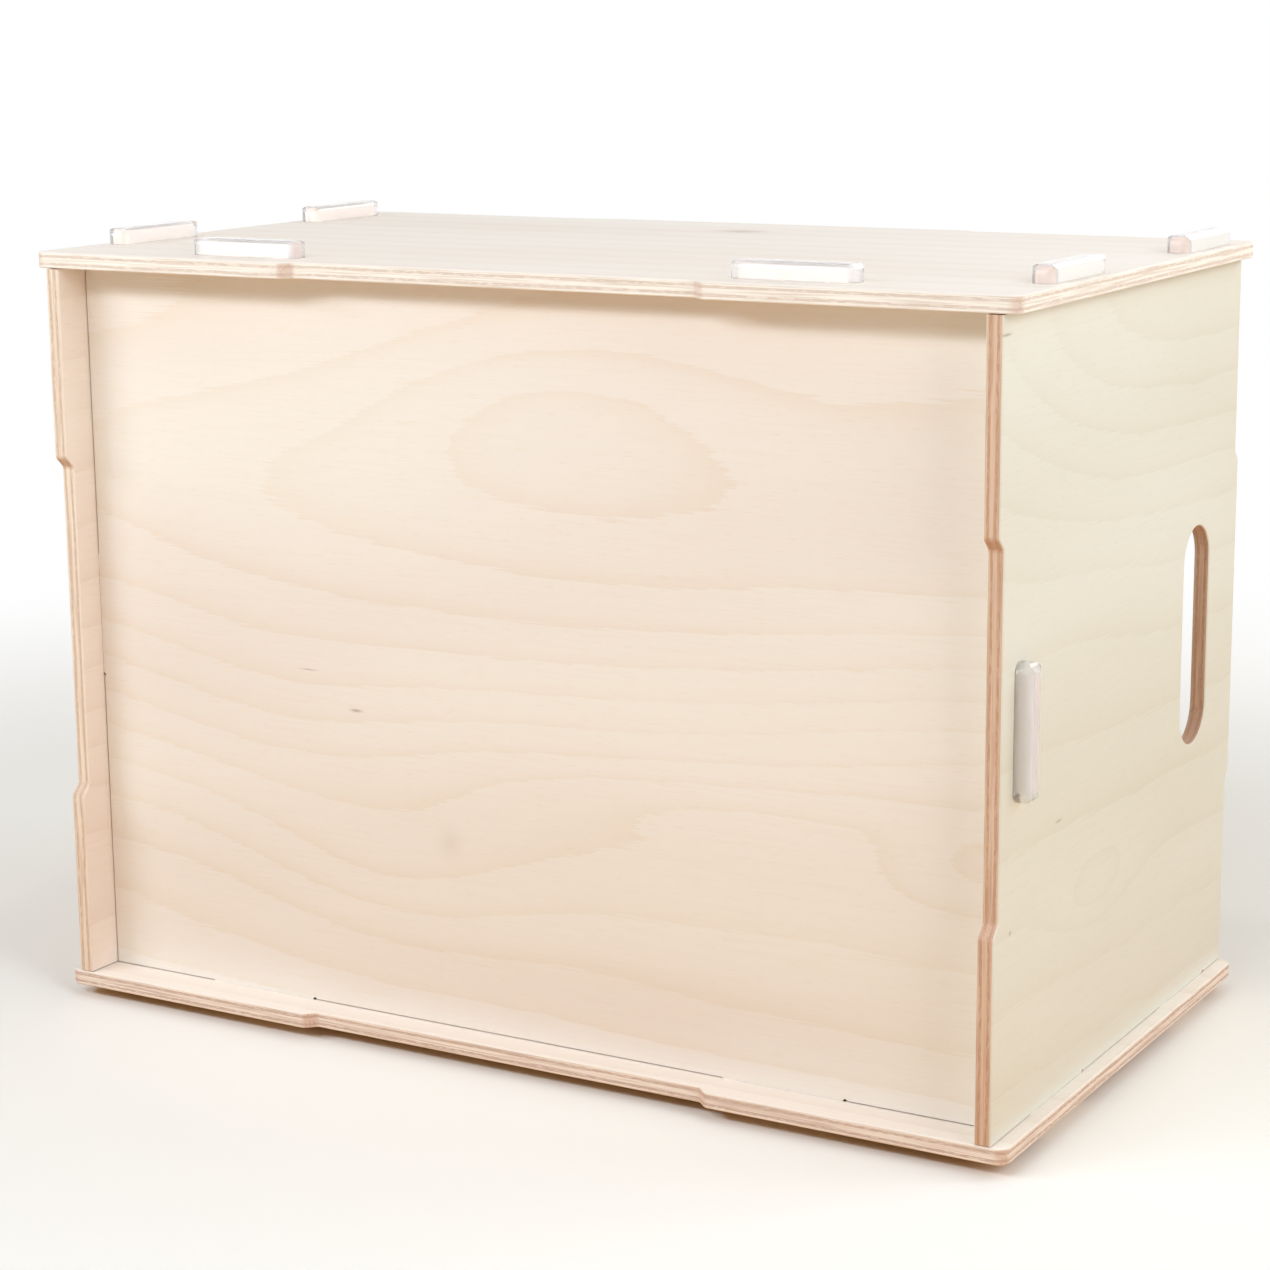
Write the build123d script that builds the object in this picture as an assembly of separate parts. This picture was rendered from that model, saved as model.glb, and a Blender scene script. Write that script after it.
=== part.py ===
from build123d import *
import os

# Knock-down plywood crate that stands on one long wall, open towards +Y and closed towards -Y.
# Two long walls (top and bottom), two side walls and a back panel are routed from one board.
# Through tenons lock the five boards together. The crate stands on the bare tenons of its lower wall,
# and a clear soft cap is pushed over each of the other tenons.
# Millimetres, +Z up. The origin is on the floor, under the middle of the crate.

# ---------------------------------------------------------------- driving sizes
board = 6.5               # birch plywood, five plies
crate_length = 440.0      # long walls, end to end (X)
crate_height = 317.5      # over the outside faces of the two long walls (Z)
wall_depth = 249.5        # every wall, from its base edge to its rim edge (Y)
wall_overhang = 6.0       # the long walls run past the side walls by this much
base_recess = 17.0        # the back panel stands in from the base edges by this much
wall_corner = 5.0         # rounded corners of the long walls

long_notch = 190.0        # length of the base notch in a long wall, at the edge
side_notch = 146.0        # length of the base notch in a side wall, at the edge
notch_depth = 4.3         # how far the base notches go in
stack_end_gap = 2.0       # a rim tongue is shorter than the notch above it by this, at each end
stack_gap = 0.8           # and lower than the notch is deep by this
step_round = 3.0          # router radius at the corners of the notches and tongues

tenon_length = 44.0       # along the board's edge
tenon_proud = 5.4         # how far a tenon stands out of the board it passes through
tenon_tip = 0.8           # lead-in chamfer at the tenon's tip
side_tenon_inset = 44.0   # side tenons: middle to the rim edge, and to the back panel's inner face
back_tenon_inset = 96.0   # upper and lower back tenons: middle to the end of the long wall
joint_clearance = 0.15    # between a tenon and its mortise, each side
cutter_radius = 1.0       # corner reliefs that the router leaves at mortises and tenon roots
seat_length = 8.0         # stretch of shoulder on one side of each tenon that seats on the other board
shoulder_relief = 0.4     # the rest of the shoulder is cut back by this

hand_slot_length = 92.0   # over its round ends (Z)
hand_slot_width = 30.0    # across (Y)
arris = 0.4               # broken edges where hands touch

cap_end_wall = 4.1        # clear wall beyond each end of the tenon
cap_side_wall = 1.65      # wall beside the tenon
cap_crown = 1.5           # wall over the tenon's tip
cap_clearance = 0.1       # between a cap's pocket and the tenon in it
cap_corner = 4.2          # upright corners
cap_nose = 4.0            # rounding of the crown down to the two ends
cap_edge = 2.8            # rounding of the crown along the two long sides

# ---------------------------------------------------------------- sizes that follow
rim_lift = notch_depth - stack_gap                      # height of the rim tongues
cap_length = tenon_length + 2 * (cap_clearance + cap_end_wall)
cap_width = board + 2 * (cap_clearance + cap_side_wall)
pocket_depth = tenon_proud + cap_clearance
cap_height = pocket_depth + cap_crown

y_base = -(wall_depth + rim_lift) / 2                   # base edges of the walls
y_rim = y_base + wall_depth                             # rim edges, without their tongues
y_back = y_base + base_recess + board / 2               # middle of the back panel
y_inner_tenon = y_back + board / 2 + side_tenon_inset   # side tenons beside the back panel
y_mouth_tenon = y_rim - side_tenon_inset                # side tenons beside the mouth
z_low = tenon_proud                                     # underside of the bottom panel
z_high = z_low + crate_height                           # upper side of the top panel
z_middle = (z_low + z_high) / 2
x_side = crate_length / 2 - wall_overhang - board / 2   # middle of a side wall
x_back_tenon = crate_length / 2 - back_tenon_inset
inside_half_length = x_side - board / 2
inside_half_height = crate_height / 2 - board


# ---------------------------------------------------------------- boards
def stepped(half_length, at, rise=notch_depth):
    """Four corners of a step that rises by `rise` from the line y = at, with 45 degree ramps."""
    top = half_length - rise
    return [(-half_length, at), (-top, at + rise), (top, at + rise), (half_length, at)]


def wall_blank(half_length, notch_length, corner):
    """Outline of a wall: length along x, base edge with its notch below, rim with its tongue above."""
    base_step = stepped(notch_length / 2, y_base)
    rim_step = stepped(notch_length / 2 - stack_end_gap, y_rim, rim_lift)
    points = [(-half_length, y_base), *base_step, (half_length, y_base)]
    points += [(half_length, y_rim), *reversed(rim_step), (-half_length, y_rim)]
    edge_radii = [corner] + [step_round] * len(base_step) + [corner]
    return make_face(FilletPolyline(*points, radius=edge_radii * 2, close=True))


def mortise():
    """Slot for one tenon, long side along x, with a relief in each corner."""
    length, width = tenon_length + 2 * joint_clearance, board + 2 * joint_clearance
    relief_y = width / 2 - cutter_radius
    corners = [(x, y) for x in (-length / 2, length / 2) for y in (-relief_y, relief_y)]
    return Rectangle(length, width) + Locations(*corners) * Circle(cutter_radius)


def tenon():
    """One tenon that points along +x from its shoulder at x = 0, rooted a board's thickness inside."""
    reach = board + tenon_proud
    blank = Pos((reach - board) / 2, 0) * Rectangle(reach + board, tenon_length)
    return chamfer(blank.vertices().group_by(Axis.X)[-1], tenon_tip)


def tenoned_edge(blank, edge, half_span, places, seat_side):
    """Cut the shoulders and add the tenons of one edge of a board.

    edge places a frame on the board's edge: its x points out of the board, its y runs along the edge.
    places are the middles of the tenons along that y. seat_side, 1 or -1, is the side of each tenon
    where the shoulder seats on the other board. The cut-back shoulder starts at the other side.
    """
    shoulder = Pos(-shoulder_relief / 2, 0) * Rectangle(shoulder_relief, 2 * half_span)
    for place in places:
        seat = place + seat_side * (tenon_length + seat_length) / 2
        shoulder -= Pos(0, seat) * Rectangle(2 * board, seat_length)
    board_face = blank - edge * shoulder
    for place in places:
        root = place - seat_side * (tenon_length / 2 + cutter_radius)
        board_face -= edge * Pos(0, root) * Circle(cutter_radius)
        board_face += edge * Pos(0, place) * tenon()
    return board_face


def long_wall(z):
    """Top or bottom panel, with its middle at height z."""
    face = wall_blank(crate_length / 2, long_notch, wall_corner)
    for side in (-1, 1):
        for y in (y_inner_tenon, y_mouth_tenon):
            face -= Pos(side * x_side, y) * Rot(0, 0, 90) * mortise()
        face -= Pos(side * x_back_tenon, y_back) * mortise()
    wall = extrude(Plane.XY.offset(z) * face, amount=board / 2, both=True)
    broad_faces = wall.faces().filter_by(Axis.Z).sort_by(Axis.Z)
    edges = [edge for broad in (broad_faces[0], broad_faces[-1]) for edge in broad.outer_wire().edges()]
    return chamfer(edges, arris)


def side_wall(x):
    """Side wall with its middle at x. In its sketch, x runs up the wall and y is the crate's Y."""
    face = wall_blank(inside_half_height, side_notch, 0)
    places = (y_inner_tenon, y_mouth_tenon)
    middle = (y_base + y_rim) / 2
    for turn in (0, 180):
        sign = 1 if turn == 0 else -1
        edge = Rot(0, 0, turn) * Pos(inside_half_height, sign * middle)
        along = [sign * place - sign * middle for place in places]
        face = tenoned_edge(face, edge, wall_depth / 2, along, -sign)
    face -= Pos(0, y_mouth_tenon) * SlotOverall(hand_slot_length, hand_slot_width)
    face -= Pos(0, y_back) * mortise()
    plane = Plane((x, 0, z_middle), x_dir=(0, 0, 1), z_dir=(-1, 0, 0))
    wall = extrude(plane * face, amount=board / 2, both=True)
    return chamfer(hand_edges(wall), arris)


def hand_edges(wall):
    """Edges of a side wall's broad faces along its base, its rim and its hand slot."""
    broad_faces = wall.faces().filter_by(Axis.X).sort_by(Axis.X)
    edges = []
    for broad in (broad_faces[0], broad_faces[-1]):
        for edge in broad.edges():
            middle = edge @ 0.5
            in_slot = abs(middle.Y - y_mouth_tenon) <= hand_slot_width / 2 + arris
            in_slot = in_slot and abs(middle.Z - z_middle) <= hand_slot_length / 2 + arris
            on_base = middle.Y <= y_base + notch_depth + arris
            on_rim = middle.Y >= y_rim - arris
            between = abs(middle.Z - z_middle) < inside_half_height - shoulder_relief
            if between and (in_slot or on_base or on_rim):
                edges.append(edge)
    return edges


def back_board():
    """Back panel. In its sketch, x is the crate's X and y runs up."""
    face = Rectangle(2 * inside_half_length, 2 * inside_half_height)
    for turn in (90, -90):
        edge = Rot(0, 0, turn) * Pos(inside_half_height, 0)
        face = tenoned_edge(face, edge, inside_half_length, (-x_back_tenon, x_back_tenon), -1)
    for turn in (0, 180):
        edge = Rot(0, 0, turn) * Pos(inside_half_length, 0)
        face = tenoned_edge(face, edge, inside_half_height, (0,), -1)
    plane = Plane((0, y_back, z_middle), x_dir=(1, 0, 0), z_dir=(0, -1, 0))
    return extrude(plane * face, amount=board / 2, both=True)


# ---------------------------------------------------------------- caps
def crowned(width, radius):
    """Upright section of a cap that stands on y = 0, with its two top corners rounded."""
    section = Pos(0, cap_height / 2) * Rectangle(width, cap_height)
    return fillet(section.vertices().group_by(Axis.Y)[-1], radius)


def tenon_cap():
    """Clear cap in its own frame: open side down at z = 0, long side along x."""
    plan = extrude(RectangleRounded(cap_length, cap_width, cap_corner), amount=cap_height)
    front = extrude(Plane.XZ * crowned(cap_length, cap_nose), amount=cap_width, both=True)
    end = extrude(Plane.YZ * crowned(cap_width, cap_edge), amount=cap_length, both=True)
    pocket_length = tenon_length + 2 * cap_clearance
    pocket_width = board + 2 * cap_clearance
    return (plan & front & end) - extrude(Rectangle(pocket_length, pocket_width), amount=pocket_depth)


def cap_seats():
    """Name of each cap, with the middle of its seat, the way it points and the way its tenon runs."""
    seats = {}
    for side, sign in (("left", -1), ("right", 1)):
        seats[f"top_cap_back_{side}"] = ((sign * x_back_tenon, y_back, z_high), (0, 0, 1), (1, 0, 0))
        for place, y in (("inner", y_inner_tenon), ("mouth", y_mouth_tenon)):
            seats[f"top_cap_{side}_{place}"] = ((sign * x_side, y, z_high), (0, 0, 1), (0, 1, 0))
        outside = sign * (x_side + board / 2)
        seats[f"side_cap_{side}"] = ((outside, y_back, z_middle), (sign, 0, 0), (0, 0, 1))
    return seats


# ---------------------------------------------------------------- all pieces
def build():
    """Every piece of the crate, by node name."""
    pieces = {
        "top_panel": long_wall(z_high - board / 2),
        "bottom_panel": long_wall(z_low + board / 2),
        "left_side_panel": side_wall(-x_side),
        "right_side_panel": side_wall(x_side),
        "back_panel": back_board(),
    }
    cap = tenon_cap()
    for name, (seat, out, along) in cap_seats().items():
        pieces[name] = Plane(seat, x_dir=along, z_dir=out) * cap
    return pieces


os.makedirs("parts", exist_ok=True)
for node, solid in build().items():
    export_step(solid, f"parts/{node}.step")
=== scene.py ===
"""Looks of a knock-down plywood crate: birch boards, clear tenon caps, a pale floor and soft light.

Lengths are metres in the crate's own frame, with +Z up and the closed back panel towards -Y.
"""

import logging
import math
from collections.abc import Mapping
from dataclasses import dataclass
from enum import Enum

import bpy
from mathutils import Matrix, Vector


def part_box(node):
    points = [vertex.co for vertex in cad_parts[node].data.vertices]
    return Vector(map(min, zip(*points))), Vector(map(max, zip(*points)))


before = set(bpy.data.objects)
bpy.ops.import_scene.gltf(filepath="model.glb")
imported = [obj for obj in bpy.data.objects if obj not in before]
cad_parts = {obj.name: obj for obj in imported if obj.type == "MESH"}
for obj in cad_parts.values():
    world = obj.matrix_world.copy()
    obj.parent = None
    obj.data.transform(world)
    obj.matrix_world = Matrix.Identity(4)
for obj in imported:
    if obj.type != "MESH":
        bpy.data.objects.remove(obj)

IMAGE_SIDE = 1270
SENSOR_WIDTH = 36.0
BOARD_THICKNESS = 0.0065
Colour = tuple[float, float, float, float]
Step = tuple[float, float]
WHITE: Colour = (1.0, 1.0, 1.0, 1.0)
SHIFT_WAY = (1.0, 2.3, 3.7)
log = logging.getLogger("crate")


class Axis(Enum):
    """A direction of the crate, by its place in a coordinate."""

    X = 0
    Y = 1
    Z = 2


def rgb(red: int, green: int, blue: int) -> Colour:
    """Turn an sRGB colour of 0 to 255 into the linear colour that a shader takes.

    Args:
        red: Red, 0 to 255.
        green: Green, 0 to 255.
        blue: Blue, 0 to 255.

    Returns:
        Linear red, green and blue with an alpha of 1.
    """
    linear = []
    for part in (red, green, blue):
        share = part / 255
        linear.append(share / 12.92 if share <= 0.04045 else ((share + 0.055) / 1.055) ** 2.4)
    return (linear[0], linear[1], linear[2], 1.0)


# ---------------------------------------------------------------- shader maths
class Value:
    """One output of a node in a tree. Arithmetic on it adds Math nodes to the tree."""

    def __init__(self, graph: "Graph", node: bpy.types.Node, out: str | int) -> None:
        """Note what is wrapped.

        Args:
            graph: The graph that holds the node.
            node: The node.
            out: Which of its outputs is meant, by name or number.
        """
        self.graph = graph
        self.node = node
        self.out = out

    @property
    def socket(self) -> bpy.types.NodeSocket:
        """The output socket itself."""
        return self.node.outputs[self.out]

    def other(self, out: str) -> "Value":
        """Another output of the same node."""
        return Value(self.graph, self.node, out)

    def _math(self, operation: str, *terms: "Value | float") -> "Value":
        """Add one Math node that works on the terms."""
        return self.graph.node("ShaderNodeMath", {"operation": operation}, dict(enumerate(terms)))

    def __add__(self, term: "Value | float") -> "Value":
        """Add a term."""
        return self._math("ADD", self, term)

    def __sub__(self, term: "Value | float") -> "Value":
        """Take a term away."""
        return self._math("SUBTRACT", self, term)

    def __rsub__(self, term: float) -> "Value":
        """Take this value away from a number."""
        return self._math("SUBTRACT", term, self)

    def __mul__(self, term: "Value | float") -> "Value":
        """Multiply by a term."""
        return self._math("MULTIPLY", self, term)

    def __truediv__(self, term: "Value | float") -> "Value":
        """Divide by a term."""
        return self._math("DIVIDE", self, term)

    def __rtruediv__(self, term: float) -> "Value":
        """Divide a number by this value."""
        return self._math("DIVIDE", term, self)

    def __mod__(self, term: "Value | float") -> "Value":
        """What is left over a whole number of terms, never negative."""
        return self._math("FLOORED_MODULO", self, term)

    def __rmod__(self, term: float) -> "Value":
        """What a number leaves over a whole number of this value, never negative."""
        return self._math("FLOORED_MODULO", term, self)

    def __pow__(self, term: "Value | float") -> "Value":
        """Raise to a power."""
        return self._math("POWER", self, term)

    def __rpow__(self, term: float) -> "Value":
        """Raise a number to this value."""
        return self._math("POWER", term, self)

    def __gt__(self, term: "Value | float") -> "Value":
        """1 where this value is above the term, else 0."""
        return self._math("GREATER_THAN", self, term)

    def __lt__(self, term: "Value | float") -> "Value":
        """1 where this value is below the term, else 0."""
        return self._math("LESS_THAN", self, term)

    def __abs__(self) -> "Value":
        """The value without its sign."""
        return self._math("ABSOLUTE", self)

    __radd__ = __add__
    __rmul__ = __mul__


class Graph:
    """The node tree of one material or of the world."""

    def __init__(self, tree: bpy.types.NodeTree) -> None:
        """Take over a tree and empty it."""
        self.tree = tree
        tree.nodes.clear()

    def node(
        self,
        kind: str,
        settings: Mapping[str, object] | None = None,
        sockets: Mapping[str | int, object] | None = None,
        out: str | int = 0,
    ) -> Value:
        """Add a node.

        Args:
            kind: The node's type name.
            settings: Its own settings, which are set first.
            sockets: Values or links for its input sockets, by name or number.
            out: The output that is wanted.

        Returns:
            The node's output, wrapped.
        """
        made = self.tree.nodes.new(kind)
        for name, setting in (settings or {}).items():
            setattr(made, name, setting)
        for name, term in (sockets or {}).items():
            if isinstance(term, Value):
                self.tree.links.new(term.socket, made.inputs[name])
            else:
                made.inputs[name].default_value = term
        return Value(self, made, out)

    def blend(self, share: Value | float, first: object, second: object) -> Value:
        """Mix two colours.

        Args:
            share: How much of the second colour shows, 0 to 1.
            first: Colour or link.
            second: Colour or link.

        Returns:
            The mixed colour.
        """
        settings = {"data_type": "RGBA", "clamp_factor": True}
        return self.node("ShaderNodeMix", settings, {0: share, 6: first, 7: second}, out=2)

    def ramp(self, value: Value, step: Step) -> Value:
        """Turn a value into a share that rises smoothly over a step.

        Args:
            value: Link to a number.
            step: Where the rise starts and ends.

        Returns:
            0 below the step, 1 above it.
        """
        settings = {"interpolation_type": "SMOOTHSTEP"}
        sockets = {"Value": value, "From Min": step[0], "From Max": step[1]}
        return self.node("ShaderNodeMapRange", settings, sockets)


def new_material(name: str) -> tuple[bpy.types.Material, Graph]:
    """Make a material with an empty tree.

    Args:
        name: The material's name.

    Returns:
        The material and its graph.
    """
    material = bpy.data.materials.new(name)
    material.use_nodes = True
    return material, Graph(material.node_tree)


# ---------------------------------------------------------------- boards
@dataclass(frozen=True)
class Oval:
    """An oval place on a board, measured along and across its face grain from the crate's origin."""

    along: float
    across: float
    half_length: float
    half_width: float


@dataclass(frozen=True)
class Bend(Oval):
    """A hill or hollow in the count of a veneer's growth rings, which its ring lines bend around."""

    rings: float


@dataclass(frozen=True)
class Mark(Oval):
    """A brown mark in the wood, such as a pin knot or a pith fleck."""

    strength: float


@dataclass(frozen=True)
class Veneer:
    """Colours and figure of one board.

    Its growth rings are ring_gap metres apart before they bend, and they climb by slope across the grain
    for each metre along it. The seed sets every pattern of the board.
    """

    pale: Colour
    warm: Colour
    ring: Colour
    edge_pale: Colour
    edge_dark: Colour
    seed: float
    ring_gap: float = 0.024
    first_ring: float = 0.0
    slope: float = 0.0
    bends: tuple[Bend, ...] = ()
    marks: tuple[Mark, ...] = ()


@dataclass(frozen=True)
class Grain:
    """A noise in the wood, by the lengths of its cells in metres.

    Detail is the number of finer layers in it, and shift moves its pattern away from the board's own seed.
    """

    along: float
    across: float
    through: float
    detail: float = 2.0
    shift: float = 0.0


@dataclass(frozen=True)
class BirchPly:
    """What every birch plywood board shares: five plies, and how fine and how strong its grain is.

    A step is the stretch of a noise over which its mark rises from nothing to full. A strength is the
    largest share of the mark's colour. Depths in the board are shares of its thickness.
    """

    # noises
    fibres: Grain = Grain(0.030, 0.0009, 0.0009, detail=3.0)
    pores: Grain = Grain(0.007, 0.0005, 0.0005, shift=2.7)
    clouds: Grain = Grain(0.35, 0.09, BOARD_THICKNESS, detail=1.0)
    warp: Grain = Grain(0.16, 0.045, BOARD_THICKNESS, shift=5.1)
    waves: Grain = Grain(0.032, 0.032, 0.032, shift=7.7)
    torn: Grain = Grain(0.0034, 0.0034, 0.0007, shift=9.3)
    streaks_long: Grain = Grain(0.030, 0.030, 0.0005, detail=3.0, shift=1.3)
    streaks_short: Grain = Grain(0.0005, 0.030, 0.0010, detail=3.0, shift=4.9)

    # broad faces
    cloud_step: Step = (0.30, 0.75)
    warp_rings: float = 0.4
    ring_feather: float = 0.24
    ring_power: float = 4.5
    ring_strength: float = 0.15
    ring_floor: float = 0.4
    ring_step: Step = (0.2, 0.7)
    fibre_step: Step = (0.42, 0.75)
    fibre_strength: float = 0.055
    pore_step: Step = (0.60, 0.72)
    pore_strength: float = 0.12
    mark_tone: Colour = rgb(150, 112, 84)

    # sawn edges
    core_half: float = 0.155
    cross_half: float = 0.320
    ply_blur: float = 0.022
    ply_wave: float = 0.09
    torn_step: Step = (0.40, 0.62)
    torn_floor: float = 0.50
    streak_step: Step = (0.40, 0.70)
    streak_strength: float = 0.80
    ramp_strength: float = 0.40
    ramp_tone: Colour = rgb(206, 166, 147)

    # sheen and relief, and how squarely a surface faces out to count as a broad face
    face_above: float = 0.4
    face_roughness: float = 0.55
    edge_roughness: float = 0.78
    fibre_roughness: float = 0.08
    gloss: float = 0.3
    relief: float = 0.00005
    relief_strength: float = 0.6


@dataclass(frozen=True)
class Board:
    """One plywood board.

    Its node gives its place, thick is the direction through it, and grain is that of its face grain.
    """

    node: str
    thick: Axis
    grain: Axis
    veneer: Veneer
    ply: BirchPly = BirchPly()

    @property
    def cross(self) -> Axis:
        """The direction across the face grain."""
        return next(axis for axis in Axis if axis not in (self.thick, self.grain))

    def _noise(self, graph: Graph, grain: Grain) -> Value:
        """Lay a noise along the board.

        Args:
            graph: The material's graph.
            grain: Lengths, detail and shift of the noise.

        Returns:
            The noise, about 0 to 1.
        """
        lengths = {self.grain: grain.along, self.cross: grain.across, self.thick: grain.through}
        scale = tuple(1 / lengths[axis] for axis in Axis)
        offset = tuple((self.veneer.seed + grain.shift) * part for part in SHIFT_WAY)
        where = graph.node("ShaderNodeTexCoord", out="Object")
        settings = {"operation": "MULTIPLY_ADD"}
        vector = graph.node("ShaderNodeVectorMath", settings, {0: where, 1: scale, 2: offset})
        sockets = {"Vector": vector, "Scale": 1.0, "Detail": grain.detail}
        return graph.node("ShaderNodeTexNoise", {}, sockets, out="Fac")

    def _hill(self, place: Value, oval: Oval) -> Value:
        """Raise a soft hill over an oval place.

        Args:
            place: Node output that splits the place on the board.
            oval: Where the hill is, and how far it reaches.

        Returns:
            1 in the middle of the oval, falling to 0 around it.
        """
        run = (place.other(self.grain.name) - oval.along) / oval.half_length
        rise = (place.other(self.cross.name) - oval.across) / oval.half_width
        return math.e ** (0 - (run * run + rise * rise))

    def _late_wood(self, graph: Graph, place: Value, fibres: Value, clouds: Value) -> Value:
        """How much of the dark end of a growth ring shows.

        Args:
            graph: The material's graph.
            place: Node output that splits the place on the board.
            fibres: Noise that feathers the rings.
            clouds: Noise that makes some stretches of them fainter.

        Returns:
            1 on a ring's line, falling to 0 before the next.
        """
        ply, veneer = self.ply, self.veneer
        warp = self._noise(graph, ply.warp)
        across = place.other(self.cross.name) + place.other(self.grain.name) * veneer.slope
        count = across / veneer.ring_gap + (warp - 0.5) * ply.warp_rings + veneer.first_ring
        count = count + (fibres - 0.5) * ply.ring_feather
        for bend in veneer.bends:
            count = count + self._hill(place, bend) * bend.rings
        shown = graph.ramp(clouds, ply.ring_step) * (1 - ply.ring_floor) + ply.ring_floor
        return (1 - count % 1.0) ** ply.ring_power * shown

    def _face(self, graph: Graph, place: Value, fibres: Value) -> Value:
        """Colour of the broad faces.

        Args:
            graph: The material's graph.
            place: Node output that splits the place on the board.
            fibres: Noise of the wood's fibres.

        Returns:
            The colour, with growth rings, fibres, pores, clouds and marks.
        """
        ply, veneer = self.ply, self.veneer
        clouds, pores = self._noise(graph, ply.clouds), self._noise(graph, ply.pores)
        late_wood = self._late_wood(graph, place, fibres, clouds)
        colour = graph.blend(graph.ramp(clouds, ply.cloud_step), veneer.pale, veneer.warm)
        colour = graph.blend(late_wood * ply.ring_strength, colour, veneer.ring)
        colour = graph.blend(graph.ramp(fibres, ply.fibre_step) * ply.fibre_strength, colour, veneer.ring)
        colour = graph.blend(graph.ramp(pores, ply.pore_step) * ply.pore_strength, colour, veneer.ring)
        for mark in veneer.marks:
            colour = graph.blend(self._hill(place, mark) * mark.strength, colour, ply.mark_tone)
        return colour

    def _cross_plies(self, graph: Graph, place: Value) -> Value:
        """How much of the two darker cross plies shows in a sawn edge.

        Args:
            graph: The material's graph.
            place: Node output that splits the place on the board.

        Returns:
            0 on the pale plies, and more where a cross ply is torn.
        """
        ply = self.ply
        low, high = (corner[self.thick.value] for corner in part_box(self.node))
        depth = (place.other(self.thick.name) - low) / (high - low)
        from_core = abs(depth + (self._noise(graph, ply.waves) - 0.5) * ply.ply_wave - 0.5)
        inner, outer = (
            graph.ramp(from_core, (half - ply.ply_blur, half + ply.ply_blur))
            for half in (ply.core_half, ply.cross_half)
        )
        torn = graph.ramp(self._noise(graph, ply.torn), ply.torn_step)
        return (inner - outer) * (torn + ply.torn_floor)

    def _edge(self, graph: Graph, place: Value, facing: Value) -> tuple[Value, Value]:
        """Colour of the sawn edges.

        Args:
            graph: The material's graph.
            place: Node output that splits the place on the board.
            facing: Node output that splits the surface's direction.

        Returns:
            The colour, with darker cross plies, brown ramps and streaks, and the streaks alone.
        """
        ply, veneer = self.ply, self.veneer
        long_end, cross_end = abs(facing.other(self.grain.name)), abs(facing.other(self.cross.name))
        runs_long, runs_short = self._noise(graph, ply.streaks_long), self._noise(graph, ply.streaks_short)
        streaks = runs_long + (runs_short - runs_long) * long_end
        colour = graph.blend(self._cross_plies(graph, place), veneer.edge_pale, veneer.edge_dark)
        streaked = graph.ramp(streaks, ply.streak_step) * ply.streak_strength
        colour = graph.blend(streaked, colour, veneer.edge_dark)
        on_ramp = long_end * cross_end * 2.0  # 1 on a ramp at 45 degrees
        return graph.blend(on_ramp * ply.ramp_strength, colour, ply.ramp_tone), streaks

    def material(self) -> bpy.types.Material:
        """Build the board's material.

        Returns:
            The material, with faces and edges told apart by the surface's direction.
        """
        ply = self.ply
        material, graph = new_material(f"{self.node}_birch")
        where = graph.node("ShaderNodeTexCoord", out="Object")
        place = graph.node("ShaderNodeSeparateXYZ", {}, {0: where}, out="X")
        facing = graph.node("ShaderNodeSeparateXYZ", {}, {0: where.other("Normal")}, out="X")
        fibres = self._noise(graph, ply.fibres)
        face = self._face(graph, place, fibres)
        edge, streaks = self._edge(graph, place, facing)
        broad = abs(facing.other(self.thick.name)) > ply.face_above
        height = fibres * broad + streaks * (1 - broad)
        relief = {"Height": height, "Distance": ply.relief, "Strength": ply.relief_strength}
        roughness = ply.edge_roughness + broad * (ply.face_roughness - ply.edge_roughness)
        shader = graph.node("ShaderNodeBsdfPrincipled", {}, {
            "Base Color": graph.blend(broad, edge, face),
            "Roughness": roughness + fibres * ply.fibre_roughness,
            "Specular IOR Level": ply.gloss,
            "Normal": graph.node("ShaderNodeBump", {}, relief),
        })
        graph.node("ShaderNodeOutputMaterial", {}, {"Surface": shader})
        return material

    def dress(self) -> None:
        """Give the board its material."""
        birch = self.material()
        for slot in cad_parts[self.node].material_slots:
            slot.material = birch
        log.info("%s: birch, grain along %s", self.node, self.grain.name)


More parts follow.
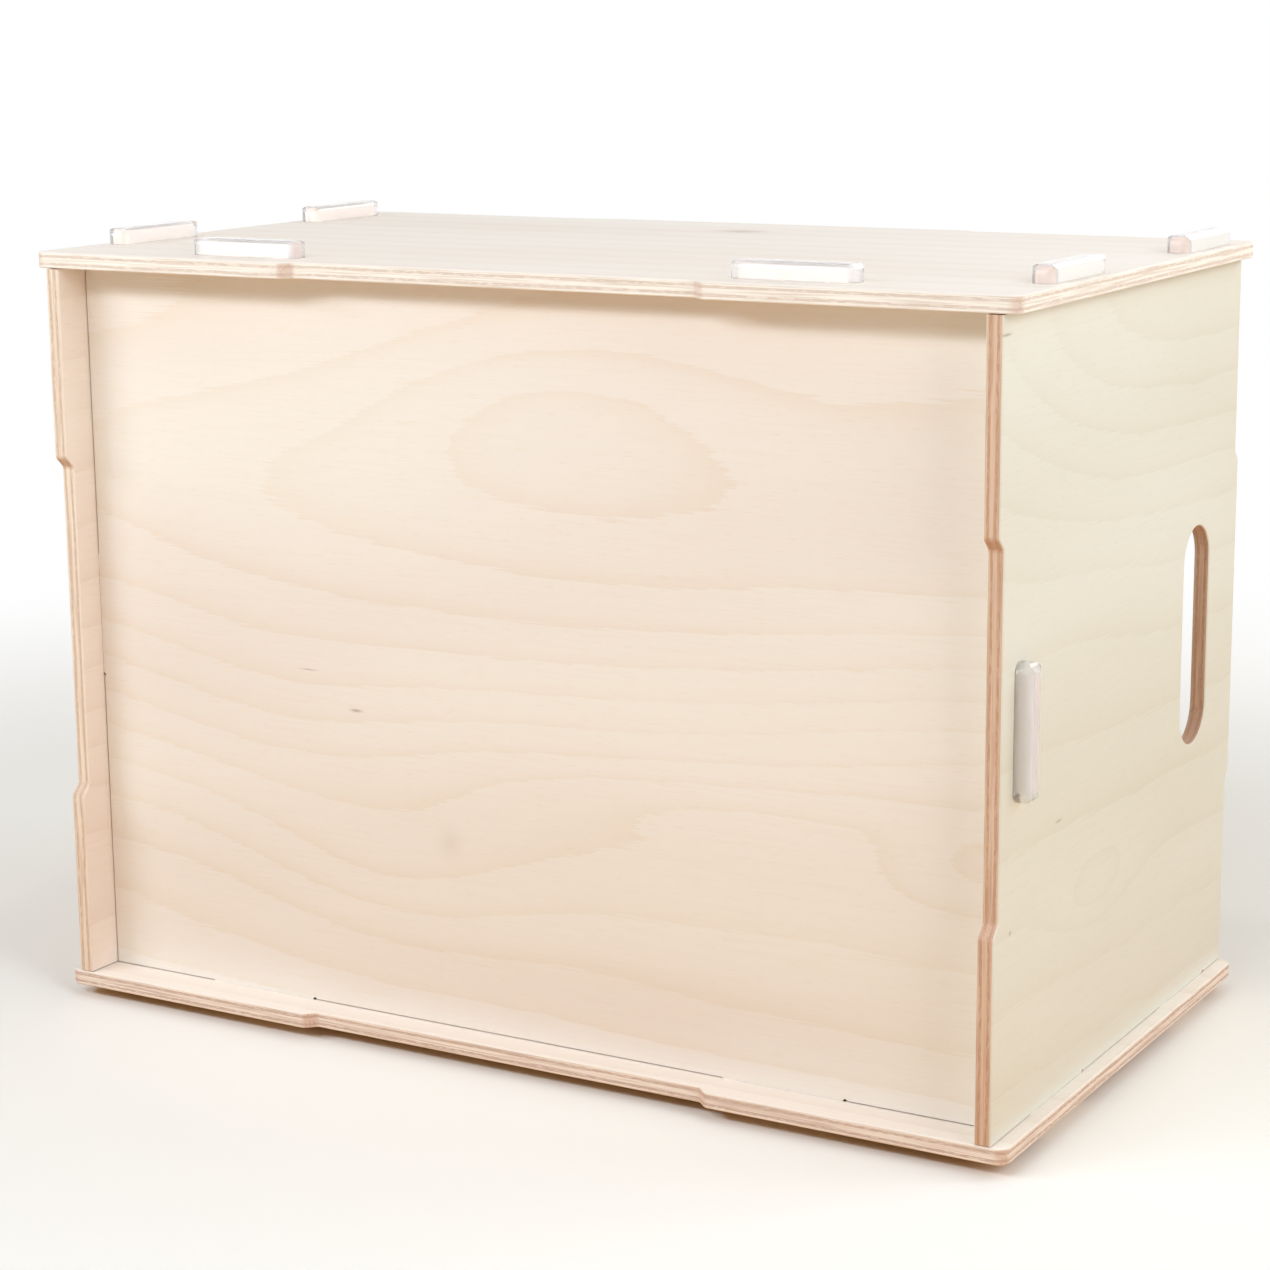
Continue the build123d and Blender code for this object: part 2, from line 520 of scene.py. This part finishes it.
@dataclass(frozen=True)
class Carcass:
    """The five boards of the crate."""

    boards: tuple[Board, ...] = (
        Board("back_panel", Axis.Y, Axis.X, Veneer(
            pale=rgb(246, 242, 235),
            warm=rgb(241, 233, 226),
            ring=rgb(216, 181, 118),
            edge_pale=rgb(210, 176, 157),
            edge_dark=rgb(180, 142, 122),
            seed=3.0,
            ring_gap=0.0199,
            first_ring=-1.152,
            slope=0.0503,
            bends=(
                Bend(0.0477, 0.2007, 0.457, 0.0724, 2.23),
                Bend(0.0222, 0.2707, 0.084, 0.0373, 1.67),
                Bend(-0.2727, 0.2606, 0.096, 0.0785, -0.59),
                Bend(-0.0642, 0.3280, 0.604, 0.0703, -5.60),
                Bend(-0.1134, 0.1338, 0.074, 0.0420, 0.88),
                Bend(-0.0612, 0.0748, 0.072, 0.0311, 1.51),
                Bend(0.1992, 0.1107, 0.031, 0.0171, 1.30),
                Bend(0.2547, 0.1526, 0.164, 0.0589, -2.38),
                Bend(0.0874, 0.1181, 0.103, 0.0160, -1.12),
                Bend(-0.1595, 0.0225, 0.202, 0.0243, 0.80),
                Bend(0.1388, 0.0360, 0.192, 0.0396, 0.80),
            ),
            marks=(
                Mark(-0.0755, 0.1400, 0.0026, 0.0006, 0.6),
                Mark(-0.0987, 0.1548, 0.0036, 0.0003, 0.45),
                Mark(-0.0310, 0.0894, 0.0055, 0.0060, 0.10),
            ),
        )),
        Board("top_panel", Axis.Z, Axis.X, Veneer(
            pale=rgb(247, 241, 236),
            warm=rgb(244, 235, 228),
            ring=rgb(208, 178, 152),
            edge_pale=rgb(253, 249, 242),
            edge_dark=rgb(225, 210, 198),
            seed=11.0,
            marks=(Mark(0.0008, 0.0838, 0.010, 0.006, 0.4),),
        )),
        Board("bottom_panel", Axis.Z, Axis.X, Veneer(
            pale=rgb(247, 240, 233),
            warm=rgb(244, 234, 225),
            ring=rgb(208, 176, 146),
            edge_pale=rgb(254, 246, 239),
            edge_dark=rgb(213, 193, 181),
            seed=19.0,
        )),
        # This board's pale and warm tones are darker than the other boards': partly its own greener
        # veneer, partly painted shade that stands in for the weaker light on this side.
        Board("right_side_panel", Axis.X, Axis.Y, Veneer(
            pale=rgb(233, 234, 225),
            warm=rgb(227, 226, 214),
            ring=rgb(203, 186, 154),
            edge_pale=rgb(225, 197, 175),
            edge_dark=rgb(198, 160, 135),
            seed=27.0,
            ring_gap=0.030,
            first_ring=0.2,
            slope=0.04,
            bends=(
                Bend(0.060, 0.2984, 0.300, 0.060, 2.2),
                Bend(-0.200, 0.3084, 0.140, 0.090, -2.2),
                Bend(-0.0265, 0.0844, 0.036, 0.014, 1.5),
                Bend(-0.050, 0.1984, 0.080, 0.030, -0.3),
            ),
            marks=(
                Mark(-0.1235, 0.3089, 0.0040, 0.0005, 0.6),
                Mark(-0.0665, 0.1209, 0.0025, 0.0005, 0.5),
                Mark(-0.1113, 0.0896, 0.0008, 0.0008, 0.6),
            ),
        )),
        Board("left_side_panel", Axis.X, Axis.Y, Veneer(
            pale=rgb(247, 237, 229),
            warm=rgb(244, 231, 221),
            ring=rgb(206, 176, 150),
            edge_pale=rgb(244, 230, 215),
            edge_dark=rgb(214, 190, 170),
            seed=35.0,
            slope=-0.08,
            bends=(Bend(0.045, 0.2134, 0.040, 0.020, 2.4), Bend(-0.150, 0.0784, 0.120, 0.060, -1.5)),
        )),
    )

    def dress(self) -> None:
        """Give every board its material."""
        for board in self.boards:
            board.dress()


# ---------------------------------------------------------------- caps
@dataclass(frozen=True)
class ClearVinyl:
    """Soft clear plastic with a faint milk in it and a moulded, slightly rippled skin."""

    tint: Colour = rgb(248, 249, 252)
    shade: Colour = rgb(245, 236, 227)
    clearness: float = 0.73
    index: float = 1.25
    roughness: float = 0.11
    scuff: float = 0.12
    coat: float = 0.5
    coat_roughness: float = 0.08
    ripple_length: float = 0.006
    ripple_height: float = 0.00005
    ripple_strength: float = 0.5
    scuff_length: float = 0.006 / 9
    scuff_step: Step = (0.5, 0.8)

    def material(self) -> bpy.types.Material:
        """Build the material.

        Returns:
            Clear plastic that lets light through to the wood inside it.
        """
        material, graph = new_material("clear_vinyl")
        where = graph.node("ShaderNodeTexCoord", out="Object")
        ripples, scuffs = (
            graph.node("ShaderNodeTexNoise", {}, {"Vector": where, "Scale": 1 / length}, out="Fac")
            for length in (self.ripple_length, self.scuff_length)
        )
        relief = {"Height": ripples, "Distance": self.ripple_height, "Strength": self.ripple_strength}
        plastic = graph.node("ShaderNodeBsdfPrincipled", {}, {
            "Base Color": self.tint,
            "Transmission Weight": self.clearness,
            "IOR": self.index,
            "Roughness": graph.ramp(scuffs, self.scuff_step) * self.scuff + self.roughness,
            "Coat Weight": self.coat,
            "Coat Roughness": self.coat_roughness,
            "Normal": graph.node("ShaderNodeBump", {}, relief),
        })
        lit_through = graph.node("ShaderNodeBsdfTransparent", {}, {"Color": self.shade})
        lamps = graph.node("ShaderNodeLightPath", out="Is Shadow Ray")
        shader = graph.node("ShaderNodeMixShader", {}, {0: lamps, 1: plastic, 2: lit_through})
        graph.node("ShaderNodeOutputMaterial", {}, {"Surface": shader})
        return material


@dataclass(frozen=True)
class CapSet:
    """The clear caps over the tenons."""

    vinyl: ClearVinyl = ClearVinyl()
    marker: str = "_cap_"

    def dress(self) -> None:
        """Give every cap the same clear plastic."""
        plastic = self.vinyl.material()
        for name, cap in sorted(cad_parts.items()):
            if self.marker in name:
                for slot in cap.material_slots:
                    slot.material = plastic
                log.info("%s: clear vinyl", name)


# ---------------------------------------------------------------- studio
@dataclass(frozen=True)
class Lamp:
    """A softbox that points at the crate.

    Azimuth is in degrees from the closed back, towards the right side. Elevation is in degrees above the
    floor. Distance is from the crate's middle.
    """

    name: str
    azimuth: float
    elevation: float
    distance: float
    width: float
    height: float
    watts: float
    colour: Colour


@dataclass(frozen=True)
class Studio:
    """A pale floor, a white surround and soft lamps.

    The floor is paper to the eye. The light that it throws back on the crate is warm near the crate and
    paler further out. Both steps are distances from the crate's middle on the floor.
    """

    floor_side: float = 40.0
    paper: Colour = rgb(248, 247, 245)
    paper_roughness: float = 0.95
    paper_gloss: float = 0.1
    bounce_near: Colour = rgb(208, 153, 78)
    bounce_far: Colour = rgb(240, 223, 203)
    bounce_step: Step = (0.24, 0.78)
    white_step: Step = (0.32, 1.05)
    bounce_weight: float = 3.0
    sky: float = 0.30
    sky_tone: Colour = (1.0, 0.92, 0.78, 1.0)
    aim: Vector = Vector((0.0, 0.0, 0.16))
    lamps: tuple[Lamp, ...] = (
        Lamp("key", -42.0, 28.0, 1.7, 0.8, 0.22, 10.2, rgb(244, 250, 255)),
        Lamp("front", -10.0, 37.0, 1.7, 0.8, 0.22, 7.4, rgb(244, 250, 255)),
        Lamp("fill", 70.0, 22.0, 1.8, 0.9, 0.9, 10.6, rgb(250, 252, 255)),
        Lamp("side", 122.0, 34.0, 1.6, 0.9, 0.9, 7.6, rgb(247, 253, 254)),
        Lamp("rear", 172.0, 22.0, 1.8, 0.9, 0.9, 6.7, rgb(255, 252, 247)),
        Lamp("top", 40.0, 76.0, 1.5, 0.12, 0.12, 1.35, rgb(250, 253, 255)),
    )

    def _seen(self, graph: Graph) -> Value:
        """Tell the rays that the eye follows from those that light a surface.

        Args:
            graph: The graph of the floor or the world.

        Returns:
            1 for rays that show a surface or a reflection, and 0 for rays that carry light to one.
        """
        path = graph.node("ShaderNodeLightPath", out="Is Camera Ray")
        seen = path + path.other("Is Glossy Ray") + path.other("Is Transmission Ray")
        return (seen - path.other("Diffuse Depth") * self.bounce_weight) > 0.5

    def _world(self) -> None:
        """Light the scene evenly and show white behind it."""
        world = bpy.data.worlds.new("studio")
        world.use_nodes = True
        bpy.context.scene.world = world
        graph = Graph(world.node_tree)
        light = graph.node("ShaderNodeBackground", {}, {"Color": self.sky_tone, "Strength": self.sky})
        white = graph.node("ShaderNodeBackground", {}, {"Color": WHITE, "Strength": 1.0})
        shown = graph.node("ShaderNodeMixShader", {}, {0: self._seen(graph), 1: light, 2: white})
        graph.node("ShaderNodeOutputWorld", {}, {"Surface": shown})

    def _floor(self) -> None:
        """Lay a floor that keeps the crate's shadow and fades to white far away."""
        half = self.floor_side / 2
        outline = [(-half, -half, 0), (half, -half, 0), (half, half, 0), (-half, half, 0)]
        mesh = bpy.data.meshes.new("floor")
        mesh.from_pydata(outline, [], [(0, 1, 2, 3)])
        floor = bpy.data.objects.new("floor", mesh)
        bpy.context.scene.collection.objects.link(floor)
        material, graph = new_material("floor")
        where = graph.node("ShaderNodeTexCoord", out="Object")
        reach = graph.node("ShaderNodeVectorMath", {"operation": "LENGTH"}, {0: where}, out="Value")
        bounce = graph.blend(graph.ramp(reach, self.bounce_step), self.bounce_near, self.bounce_far)
        seen = self._seen(graph)
        paper = graph.node("ShaderNodeBsdfPrincipled", {}, {
            "Base Color": graph.blend(seen, bounce, self.paper),
            "Roughness": self.paper_roughness,
            "Specular IOR Level": self.paper_gloss,
        })
        white = graph.node("ShaderNodeEmission", {}, {"Color": WHITE, "Strength": 1.0})
        fade = graph.ramp(reach, self.white_step) * seen
        shader = graph.node("ShaderNodeMixShader", {}, {0: fade, 1: paper, 2: white})
        graph.node("ShaderNodeOutputMaterial", {}, {"Surface": shader})
        mesh.materials.append(material)

    def _lamp(self, lamp: Lamp) -> None:
        """Hang one softbox.

        Args:
            lamp: Its place, size, power and colour.
        """
        azimuth, elevation = math.radians(lamp.azimuth), math.radians(lamp.elevation)
        flat = math.cos(elevation)
        away = Vector((math.sin(azimuth) * flat, -math.cos(azimuth) * flat, math.sin(elevation)))
        light = bpy.data.lights.new(lamp.name, "AREA")
        light.shape = "RECTANGLE"
        light.size = lamp.width
        light.size_y = lamp.height
        light.energy = lamp.watts
        light.color = lamp.colour[:3]
        hung = bpy.data.objects.new(lamp.name, light)
        hung.location = self.aim + away * lamp.distance
        hung.rotation_euler = (-away).to_track_quat("-Z", "Y").to_euler()
        bpy.context.scene.collection.objects.link(hung)

    def build(self) -> None:
        """Set up the world, the floor and the lamps."""
        self._world()
        self._floor()
        for lamp in self.lamps:
            self._lamp(lamp)
            log.info("%s lamp: %.0f W", lamp.name, lamp.watts)


@dataclass(frozen=True)
class Viewpoint:
    """The camera: where it stands, its turn in radians, and its focal length in pixels of the image."""

    place: Vector = Vector((0.6195, -1.0807, 0.4261))
    yaw: float = 0.5254
    pitch: float = -0.2118
    roll: float = 0.0096
    focal_pixels: float = 2993.6

    def build(self) -> None:
        """Make the scene's camera."""
        data = bpy.data.cameras.new("camera")
        data.sensor_width = SENSOR_WIDTH
        data.lens = self.focal_pixels / IMAGE_SIDE * SENSOR_WIDTH
        camera = bpy.data.objects.new("camera", data)
        turn = Matrix.Rotation(self.yaw, 4, "Z") @ Matrix.Rotation(math.pi / 2 + self.pitch, 4, "X")
        turn = turn @ Matrix.Rotation(-self.roll, 4, "Z")
        camera.matrix_world = Matrix.Translation(self.place) @ turn
        bpy.context.scene.collection.objects.link(camera)
        bpy.context.scene.camera = camera


def main() -> None:
    """Build the camera, the studio and the crate's materials."""
    logging.basicConfig(level=logging.INFO, format="%(name)s: %(message)s")
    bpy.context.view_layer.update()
    bpy.context.scene.view_settings.view_transform = "Standard"
    Viewpoint().build()
    Studio().build()
    Carcass().dress()
    CapSet().dress()


if __name__ == "__main__":
    main()
